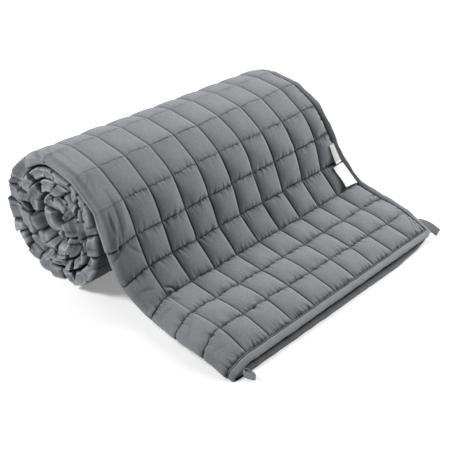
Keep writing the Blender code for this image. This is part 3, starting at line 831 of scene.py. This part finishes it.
def bound_edge(look):
    """The strip's section carried round the four edges of the cloth, as one closed line of (across, rows),
    square to each edge and mitred at the corners."""
    ends = np.arange(BINDING_STEP, WIDTH - BINDING_STEP / 2, BINDING_STEP)
    fold = np.linspace(-1, 1, BINDING_TURN) * FOLD_RADIUS * math.pi / 2
    ends = ends[ends > fold[-1]]
    end = np.r_[WIDTH, ends[::-1], fold[::-1], -ends, -WIDTH]
    sides = np.arange(1, round(ROWS * SQUARE / BINDING_STEP)) * BINDING_STEP / SQUARE
    across = np.r_[end, 0 * sides - WIDTH, end[::-1], 0 * sides + WIDTH][:, None]
    rows = np.r_[0 * end, sides, 0 * end + ROWS, sides[::-1]][:, None]
    side = np.abs(across) == WIDTH
    out_across = np.where(side, np.sign(across), 0)
    out_rows = np.where(rows == 0, -1.0, np.where(rows == ROWS, 1.0, 0)) / SQUARE
    out, off = np.array(BINDING_SECTION).T / 10000
    reach = PIECE_GAP + out * np.where(side & ((rows == 0) | (rows == ROWS)), MITRE, 1)
    along = np.arange(len(across))[:, None] * BINDING_STEP
    pucker = uneven(along / BINDING_PUCKER[1], np.sign(off), seed=41, y_from=3)
    off = off + BINDING_PUCKER[0] * np.sign(off) * pucker
    wave = np.where(side, BINDING_WAVE[0], BINDING_WAVE[0] / 3)
    reach = reach * (1 + wave * uneven(along / BINDING_WAVE[1], 0 * along, seed=42))
    curl = np.where(across == WIDTH, np.interp(rows, *CURL), 0) * np.maximum(out, 0)
    rings = cloth(across + reach * out_across, rows + reach * out_rows, off + curl)
    rings[..., 2] = np.maximum(rings[..., 2], FLOOR_CLEAR)
    # painted shade along the sides, on the lower layer's end and where it faces the other layer
    shade = np.where(side, SIDE_SHADE, np.where(across < 0, UNDER_SHADE, 0))
    shade = np.where((off < 0) & (across >= -FOLD_RADIUS), INSIDE_SHADE, shade)
    # painted shade by the stitched line and painted highlight on the rim of the upper side edge
    shade = shade + np.interp(out, *SIDE_HIGHLIGHT_AND_SHADE) * (across == WIDTH)
    piece = lofted("bound_edge", rings, np.broadcast_to(out, off.shape), along / SQUARE, look, shade,
                   closed_along=True)
    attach(piece, "root")
    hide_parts("edge_binding")


bound_edge(binding_look())

# ------------------------------
# The two labels. Satin tape, blank, folded double and sewn down along the side edge over the binding, so
# that it lies back over the square beside it.
# ------------------------------

LABEL_OVER = 0.001  # how far it reaches over the side edge
LABEL_THICKNESS = 0.0008
LABEL_CLEAR = 0.0006  # how far it lies off the quilt,
LABEL_ROOT = 0.0062  # how high it leaves the binding,
LABEL_LIFT = 0.0012  # how far its free edge lifts
SATIN_THREADS = 2600


def satin_look(name, colour):
    """Satin tape: fine ribs across the tape and a soft gloss."""
    look, tree, _, _, shade, height = cloth_look(name, SATIN_THREADS, 0.42, 0.10, 0.30)
    shade = maths(tree, "MULTIPLY_ADD", shade, 0.30, 0.70)
    return dressed(look, colour, shade, height, strength=0.25, distance=0.0002)


def blank_label(name, cad_name, slot, colour, low_row, high_row, width):
    """A thin plate over the square's flank: it lies on the highest points of the quilt under it, from the
    binding inwards, and its free edge lifts a little."""
    rows = np.linspace(low_row, high_row, 40)[:, None]
    across = np.linspace(WIDTH + LABEL_OVER, WIDTH - width, 30)
    beneath = quilt_height(np.minimum(across, WIDTH), rows)[0].max(axis=0)
    lift = np.clip((WIDTH - across) / width, 0, 1) ** 2 * (1 + 0.5 * uneven(rows * 3, 0 * rows, seed=51))
    low = np.maximum(np.maximum.accumulate(beneath), LABEL_ROOT) + LABEL_CLEAR + LABEL_LIFT * lift
    over = cloth(across, rows, low + LABEL_THICKNESS)
    under = cloth(across[::-1], rows, low[:, ::-1])
    look = satin_look(slot, colour)
    piece = lofted(name, np.hstack((over, under)), np.r_[across, across[::-1]], rows, look)
    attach(piece, "root")
    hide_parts(cad_name)


blank_label("white_label", "wide_label", "white_satin", (0.60, 0.60, 0.59),
            low_row=3.01, high_row=3.88, width=0.036)
blank_label("grey_label", "narrow_label", "grey_satin", (0.45, 0.45, 0.445),
            low_row=3.94, high_row=4.63, width=0.024)

# ------------------------------
# The two tape loops. Flat woven tape folded back on itself and caught in the binding's seam, one in the free
# end's corner and one where the cloth is folded.
# ------------------------------

TAPE_THICKNESS = 0.0012
TAPE_EDGE = 0.18  # how much of its thickness its selvedges lose,
TAPE_FLAT = 0.8  # and the share of its width that keeps it all
LOOP_STEPS = 61
TAPE_THREADS = 1500
TAPE_RIB = 0.0014  # from one rib to the next


def tape_look():
    """Dark grey woven tape: ribs across it."""
    look, tree, _, along, shade, height = cloth_look("loop_tape", TAPE_THREADS, 0.80, 0.15, 0.5)
    rib = maths(tree, "SINE", maths(tree, "MULTIPLY", along, 2 * math.pi / TAPE_RIB))
    shade = shaded(tree, shade, rib, 0.06, 0.97)
    height = maths(tree, "MULTIPLY_ADD", rib, 0.4, height)
    return dressed(look, (0.265, 0.275, 0.287), shade, height, strength=0.6, distance=0.0003)


def tape_loop(name, cad_name, look, root, ahead, broad, width, length, eye, hump=0.0):
    """A tape that leaves root along ahead, turns back, and bulges to eye between its two legs: a cosine
    out and back, with a sine for the bulge and one for the hump over its length. broad is the direction of
    its width."""
    ahead = unit(np.array(ahead))
    broad = unit(broad - np.dot(broad, ahead) * ahead)
    apart = np.cross(ahead, broad)
    turn = np.linspace(-math.pi, math.pi, LOOP_STEPS)
    reach = length * (1 + np.cos(turn)) / 2
    bulge = (eye / 2) * np.sin(turn) * np.sin(np.abs(turn) / 2) + np.sin(turn / 2) * TAPE_THICKNESS
    middle = np.stack((reach, bulge), axis=1)
    along = np.gradient(middle, axis=0)
    out = unit(np.stack((along[:, 1], -along[:, 0]), axis=1))
    side = np.r_[-1, -TAPE_FLAT, TAPE_FLAT, 1, 1, TAPE_FLAT, -TAPE_FLAT, -1] * width / 2
    face = np.repeat((-1, 1), 4) * TAPE_THICKNESS / 2
    face = face * np.where(np.abs(side) == width / 2, 1 - TAPE_EDGE, 1)
    flat = middle[:, None] + face[:, None] * out[:, None]
    rings = np.subtract(root, ORIGIN) + flat[..., :1] * ahead + flat[..., 1:] * apart + side[:, None] * broad
    rings[..., 2] += hump * np.sin(math.pi * reach / length)[:, None]
    run = np.r_[0, np.cumsum(np.hypot(*np.diff(middle, axis=0).T))][:, None]
    piece = lofted(name, rings, np.broadcast_to(side, rings.shape[:2]), run / SQUARE, look)
    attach(piece, "root")
    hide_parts(cad_name)


tape = tape_look()
tape_loop("corner_tape", "corner_loop", tape, root=(-0.034, WIDTH + 0.0085, 0.0165),
          ahead=(1, 0.05, -0.06), broad=(0, 0.77, 0.64), width=0.015, length=0.047, eye=0.006, hump=0.004)
tape_loop("fold_tape", "fold_loop", tape, root=(0.0231, 0.033, 0.0060),
          ahead=(1, 0.12, 0), broad=(0, 0, 1), width=0.0120, length=0.0225, eye=0.009)

# ------------------------------
# The floor, the light and the camera. A pale floor and room, a strong lamp from behind on the right, a second
# from the near end, and two weaker ones from above and behind. The camera is fitted to the photo's seams.
# ------------------------------

FLOOR_HALF = 12
LAMPS_FACE = (0, 0, 0.1)
LAMP_DISTANCE = 2.6

floor_mesh = bpy.data.meshes.new("floor")
corners = [(x * FLOOR_HALF, y * FLOOR_HALF, 0) for x, y in ((-1, -1), (1, -1), (1, 1), (-1, 1))]
floor_mesh.from_pydata(corners, [], [(0, 1, 2, 3)])
floor_look, _, inputs = new_look("pale_floor", roughness=0.9, sheen=0, sheen_roughness=0.5)
inputs["Base Color"].default_value = (0.9, 0.9, 0.9, 1)
inputs["Emission Color"].default_value = (1, 1, 1, 1)
inputs["Emission Strength"].default_value = 0.25
floor_mesh.materials.append(floor_look)
linked("floor", floor_mesh)

room = bpy.data.worlds.new("room")
room.use_nodes = True
inputs = room.node_tree.nodes["Background"].inputs
inputs["Color"].default_value = (1, 1, 1, 1)
inputs["Strength"].default_value = 0.05
bpy.context.scene.world = room
bpy.context.scene.view_settings.view_transform = "Standard"


def facing(name, data, place, azimuth, elevation, distance=0.0, roll=0.0):
    """A lamp or camera that faces a place from a distance, at a compass angle from +X towards +Y and a height
    angle, turned by roll. Its matrix's columns are its own side, up and back, and where it is."""
    a, e, turn = np.radians((azimuth, elevation, roll))
    back = np.array((np.cos(a) * np.cos(e), np.sin(a) * np.cos(e), np.sin(e)))
    side = np.array((-np.sin(a), np.cos(a), 0))
    up = np.cross(back, side)
    matrix = np.eye(4)
    matrix[:3, 0] = np.cos(turn) * side + np.sin(turn) * up
    matrix[:3, 1] = np.cos(turn) * up - np.sin(turn) * side
    matrix[:3, 2] = back
    matrix[:3, 3] = place + back * distance
    made = linked(name, data)
    made.matrix_world = matrix.T.tolist()
    return made


for name, azimuth, elevation, size, power in (
    ("key", 80, 22, 1.2, 80),
    ("upper", 64, 52, 1.4, 16),
    ("near_side", 232, 38, 0.7, 56),
    ("behind", 180, 35, 1.4, 19),
):
    light = bpy.data.lights.new(name, "AREA")
    light.shape = "SQUARE"
    light.size = size
    light.energy = power
    facing(name, light, LAMPS_FACE, azimuth, elevation, LAMP_DISTANCE)

CAMERA_PLACE = (1.2205, -1.5055, 1.2596)
CAMERA_AZIMUTH = 39.712 - 90
CAMERA_LENS = 98.88

camera_data = bpy.data.cameras.new("camera")
camera_data.lens = CAMERA_LENS
camera_data.sensor_width = 36.0
bpy.context.scene.camera = facing("camera", camera_data, CAMERA_PLACE, CAMERA_AZIMUTH,
                                  elevation=32.122, roll=3.919)
